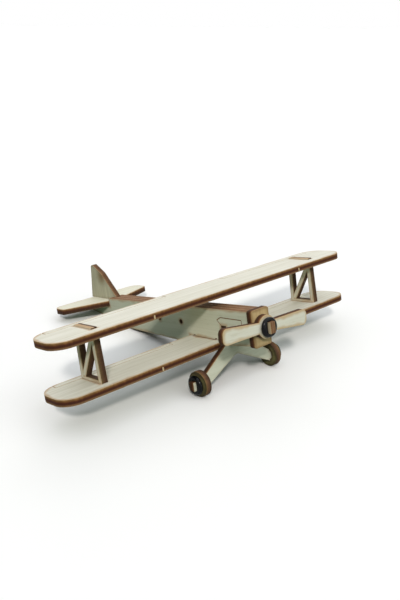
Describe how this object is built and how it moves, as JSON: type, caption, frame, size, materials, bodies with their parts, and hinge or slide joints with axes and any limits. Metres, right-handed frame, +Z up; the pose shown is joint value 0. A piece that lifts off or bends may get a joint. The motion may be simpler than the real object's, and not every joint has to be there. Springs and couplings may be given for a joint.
{
  "type": "biplane scale model",
  "caption": "Slot-together plywood biplane model: flat wings on N-shaped struts, a propeller and wheels that turn on tabs behind rubber rings, and cross holes for pegs.",
  "frame": {"origin": "middle of the model's footprint, on the floor that the wheels and the tail's lower corner stand on", "axes": "+X forwards to the propeller, +Y to port along the wings, +Z up from the floor"},
  "size_m": [0.137, 0.1724, 0.0408],
  "materials": {
    "birch_ply": "raw birch plywood with burnt edges",
    "tan_ply": "smoked tan plywood",
    "black_rubber": "smooth, slightly glossy"
  },
  "bodies": {
    "airframe": {"fuselage_core": "birch_ply", "fuselage_side_right": "birch_ply", "fuselage_side_left": "birch_ply", "nose_plate": "tan_ply", "propeller_ring": "black_rubber", "lower_wing": "birch_ply", "upper_wing": "birch_ply", "strut_right": "birch_ply", "strut_left": "birch_ply", "landing_gear": "birch_ply", "wheel_ring_right": "black_rubber", "wheel_ring_left": "black_rubber", "stabilizer": "birch_ply", "fin": "birch_ply"},
    "propeller": {"propeller": "birch_ply"},
    "wheel_right": {"wheel_right": "birch_ply"},
    "wheel_left": {"wheel_left": "birch_ply"}
  },
  "joints": [
    {"name": "propeller_spin", "type": "hinge", "parent": "airframe", "child": "propeller", "pos_m": [0.0631, 0, 0.03178], "axis": [0.9764, 0, 0.216], "continuous": true},
    {"name": "wheel_right_spin", "type": "hinge", "parent": "airframe", "child": "wheel_right", "pos_m": [0.0473, -0.0221, 0.00575], "axis": [0, 1, 0], "continuous": true},
    {"name": "wheel_left_spin", "type": "hinge", "parent": "airframe", "child": "wheel_left", "pos_m": [0.0473, 0.0221, 0.00575], "axis": [0, 1, 0], "continuous": true}
  ]
}
